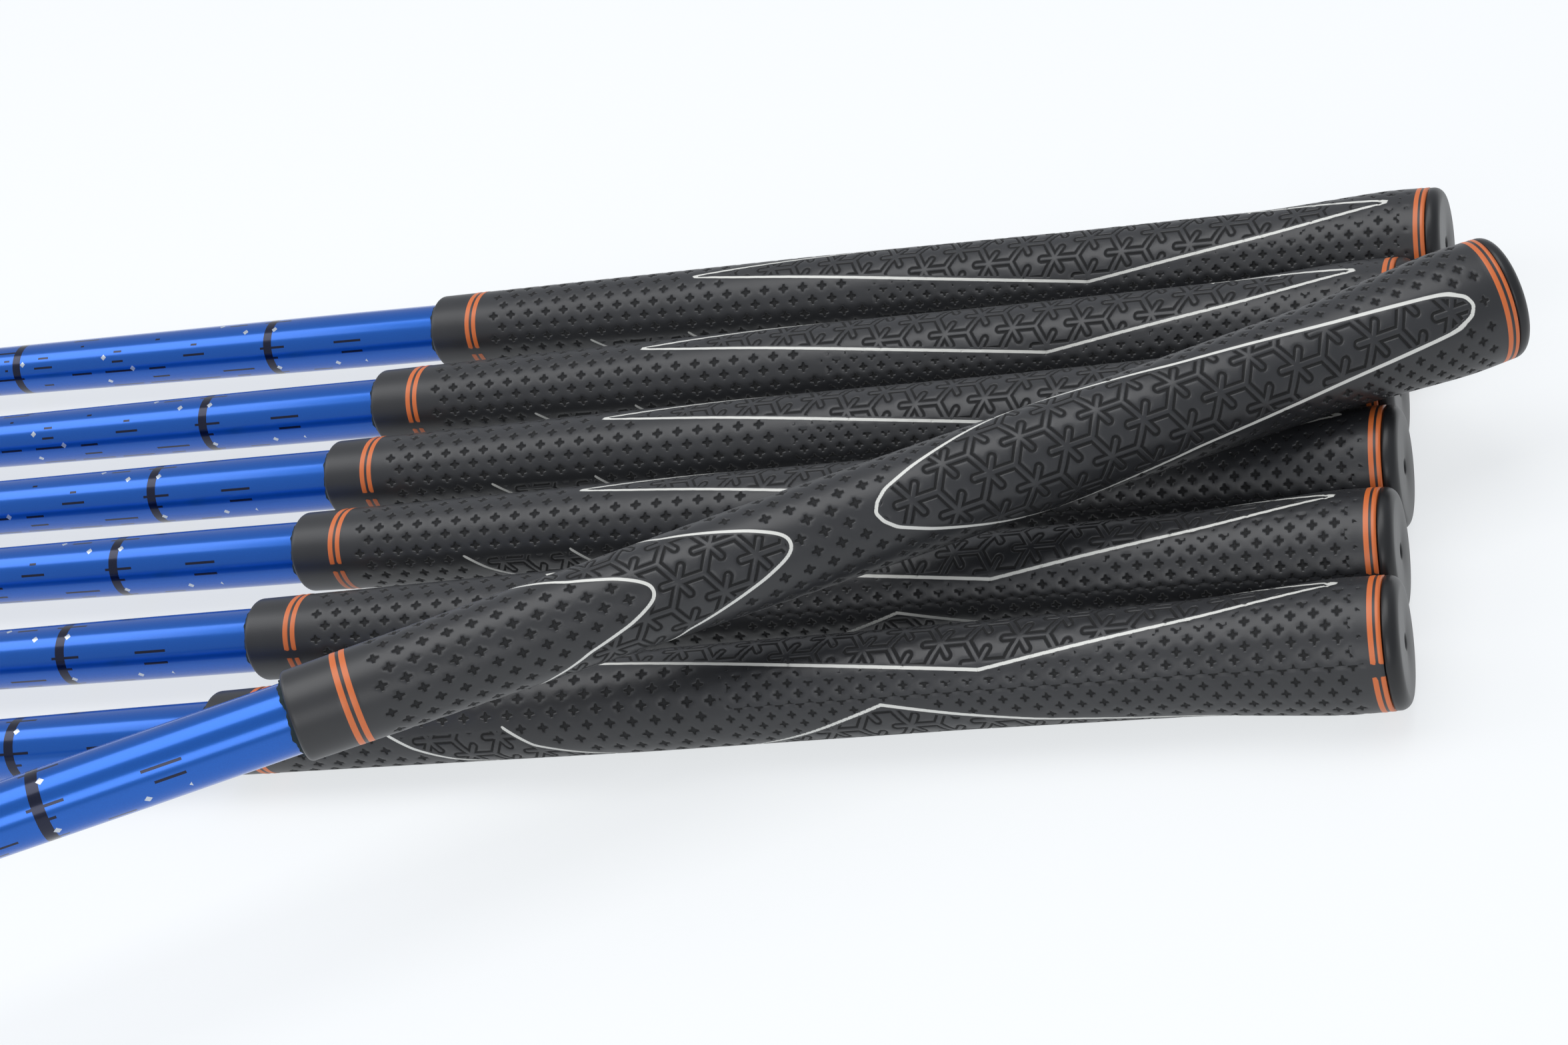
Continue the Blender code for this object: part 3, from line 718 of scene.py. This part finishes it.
# How far a point of the back lies inside the cavity's outline: the least distance to its straight sides
def insideCavity(toe, height, loft):
    rim, corner, heel = heads["cavityRim"], heads["cavityCorner"], heads["cavityHeel"]
    far = heads["toe"] - heads["toeRound"]
    edge = headToFace(np.array((far, heads["leading"] - heads["sole"], 0.15 * heads["sole"])), loft)[1]
    low, high = edge + rim, toplineHeight(far - corner) - rim
    outline = np.array(((heel, low), (heel, toplineHeight(heel) - rim), (far - corner, high),
                        (far, high - corner), (far, low + corner), (far - corner, low)))
    inside = np.full(toe.shape, 99.0)
    for start, end in zip(outline, np.roll(outline, -1, axis=0)):
        side = (end - start) / np.linalg.norm(end - start)
        inside = np.minimum(inside, (toe - start[0]) * side[1] - (height - start[1]) * side[0])
    return inside


# Steps between the points of a section and between sections, the row where the blade starts, the points
# of a section that end the face and bound the back, and how wide the cavity's wall slopes in mm
headSteps = {"column": 15, "rows": (4, 4, 2, 4, 6, 6, 6, 26, 26, 12, 5, 5, 5, 4, 3, 3, 3, 3),
             "bladeRow": 32, "faceEnd": 5, "back": (7, 12), "cavityWall": 3.2}


# Smooth loft through the sections, with the cavity sunk into its back to the face's wall
def addHead(club):
    name = club["name"]
    loft, lie = [math.radians(heads[key][name]) for key in ("loft", "lie")]
    bore, sections = headSections(loft, lie)
    columns, bladeRow = headSteps["column"], headSteps["bladeRow"]
    around = [columns] * sections.shape[1]
    dense = smoothed(sections, around, True)
    dense = smoothed(dense.swapaxes(0, 1), headSteps["rows"], False).swapaxes(0, 1)
    toe, height, depth = np.moveaxis(headToFace(dense, loft), -1, 0)
    behind = np.zeros(depth.shape, bool)
    first, last = headSteps["back"]
    behind[bladeRow:, first * columns:last * columns] = True
    sink = eased(np.where(behind, insideCavity(toe, height, loft), -1.0), 0, headSteps["cavityWall"])
    dense = faceToHead(np.stack((toe, height, depth - (depth - heads["faceWall"]) * sink), axis=-1), loft)
    points = np.concatenate((smoothed(bore, around, True), dense))
    # Head space to the club's: x behind the face, y towards the toe across the shaft, z along the shaft.
    # Both furthest points from the axis, the CAD's and the sections', give the turn about the shaft.
    turn = np.array(((0, -1, 0), (math.sin(lie), 0, math.cos(lie)), (-math.cos(lie), 0, math.sin(lie))))
    cad = nodePoints(name + "_head") - club["butt"]
    level = cad @ club["axis"]
    aside = cad - np.outer(level, club["axis"])
    reach = unit(aside[np.argmax(np.linalg.norm(aside, axis=1))])
    own = (sections.reshape(-1, 3) @ turn.T)[:, :2]
    x, y = unit(own[np.argmax(np.linalg.norm(own, axis=1))])
    right = x * reach - y * np.cross(club["axis"], reach)
    base = club["butt"] + club["axis"] * (level.max() - heads["hosel"] * mm)
    placed = base + points @ turn.T @ np.array((right, np.cross(club["axis"], right), club["axis"])) * mm
    face = np.zeros(points.shape[:2])
    face[len(bore) + bladeRow:, :headSteps["faceEnd"] * columns] = 1.0
    plain = np.zeros((len(bore), points.shape[1]))
    fields = {"toe": np.concatenate((plain, toe)), "height": np.concatenate((plain, height)), "face": face}
    piece = gridPiece(name + "_cast_head", placed, materials["steel"], fields, capped=True)
    fitPiece(piece, name, "head_steel", name + "_head")


materials = {"rubber": rubberMaterial(), "cap": capMaterial(), "shaft": shaftMaterial(),
             "tape": tapeMaterial(), "ferrule": ferruleMaterial(), "steel": steelMaterial()}
print("materials made")

clubs = [clubFrame(name) for name in sideTurns]
for club in clubs:
    addGrip(club)
    addCap(club)
    addShaft(club)
    addTape(club)
    addFerrule(club)
    addHead(club)
    print(club["name"], "made")

# Camera: its place from the middle of the row's butt ends, and its turn, dip and roll in degrees
camera = {"offset": (0.0772, -0.4642), "height": 0.3677, "turn": -26.02, "dip": 35.48, "roll": 19.83,
          "lens": 61.28}


def addCamera():
    middle = np.mean([club["butt"] for club in clubs[:-1]], axis=0)
    turn, dip, roll = [math.radians(camera[key]) for key in ("turn", "dip", "roll")]
    ahead = Vector((math.sin(turn) * math.cos(dip), math.cos(turn) * math.cos(dip), -math.sin(dip)))
    level = Vector((math.cos(turn), -math.sin(turn), 0))
    down = ahead.cross(level)
    right = math.cos(roll) * level + math.sin(roll) * down
    under = -math.sin(roll) * level + math.cos(roll) * down
    data = bpy.data.cameras.new("camera")
    data.sensor_width = 36
    data.lens = camera["lens"]
    data.clip_start = 0.01
    viewer = bpy.data.objects.new("camera", data)
    place = (middle[0] + camera["offset"][0], middle[1] + camera["offset"][1], camera["height"])
    viewer.matrix_world = Matrix.Translation(place) @ Matrix((right, -under, -ahead)).transposed().to_4x4()
    bpy.context.scene.collection.objects.link(viewer)
    bpy.context.scene.camera = viewer


lights = {
    "overhead": {"place": (0.25, 0.25, 1.3), "aim": (0.3, 0.15, 0.0), "size": (1.3, 0.9), "power": 9.0},
    "left": {"place": (-0.80, 0.12, 0.95), "aim": (0.0, 0.0, 0.0), "size": (0.7, 0.7), "power": 4.0},
    "front": {"place": (0.46, -0.95, 0.55), "aim": (0.35, 0.0, 0.03), "size": (0.6, 0.45), "power": 2.2},
}
sky = {"colour": "#f4f8ff", "strength": 0.55}


def addLights():
    for name, light in lights.items():
        data = bpy.data.lights.new(name, "AREA")
        data.shape = "RECTANGLE"
        data.size, data.size_y = light["size"]
        data.energy = light["power"]
        lamp = bpy.data.objects.new(name, data)
        lamp.location = light["place"]
        aim = Vector(light["aim"]) - lamp.location
        lamp.rotation_euler = aim.to_track_quat("-Z", "Y").to_euler()
        bpy.context.scene.collection.objects.link(lamp)
    world = bpy.data.worlds.new("studio")
    world.use_nodes = True
    background = world.node_tree.nodes["Background"]
    setInputs(world.node_tree, background, {"Color": linear(sky["colour"]), "Strength": sky["strength"]})
    bpy.context.scene.world = world


floorSheet = {"half": 25.0, "drop": 0.2 * mm, "lift": 0.72}


# Satin white table, lifted towards white where it is seen or mirrored, so that its shadows stay faint
def addFloor():
    material, tree, shader = newMaterial("white_table")
    setInputs(tree, shader, {"Base Color": linear("#f6f8fa"), "Roughness": 0.45})
    path = addNode(tree, "ShaderNodeLightPath").outputs
    rays = [Signal(tree, path["Is %s Ray" % kind]) for kind in ("Camera", "Glossy", "Transmission")]
    seen = most(most(rays[0], rays[1]), rays[2]) * floorSheet["lift"]
    glow = addNode(tree, "ShaderNodeEmission", {"Color": linear("#fafdff")})
    inputs = {0: seen.socket, 1: shader.outputs[0], 2: glow.outputs[0]}
    lifted = addNode(tree, "ShaderNodeMixShader", inputs)
    tree.links.new(lifted.outputs[0], tree.nodes["Material Output"].inputs["Surface"])
    mesh = bpy.data.meshes.new("table")
    half = floorSheet["half"]
    corners = [(-half, -half, 0), (half, -half, 0), (half, half, 0), (-half, half, 0)]
    mesh.from_pydata(corners, [], [(0, 1, 2, 3)])
    mesh.materials.append(material)
    table = bpy.data.objects.new("table", mesh)
    table.location.z = -floorSheet["drop"]
    bpy.context.scene.collection.objects.link(table)


addCamera()
addLights()
addFloor()
bpy.context.scene.view_settings.view_transform = "Standard"
print("stage set")
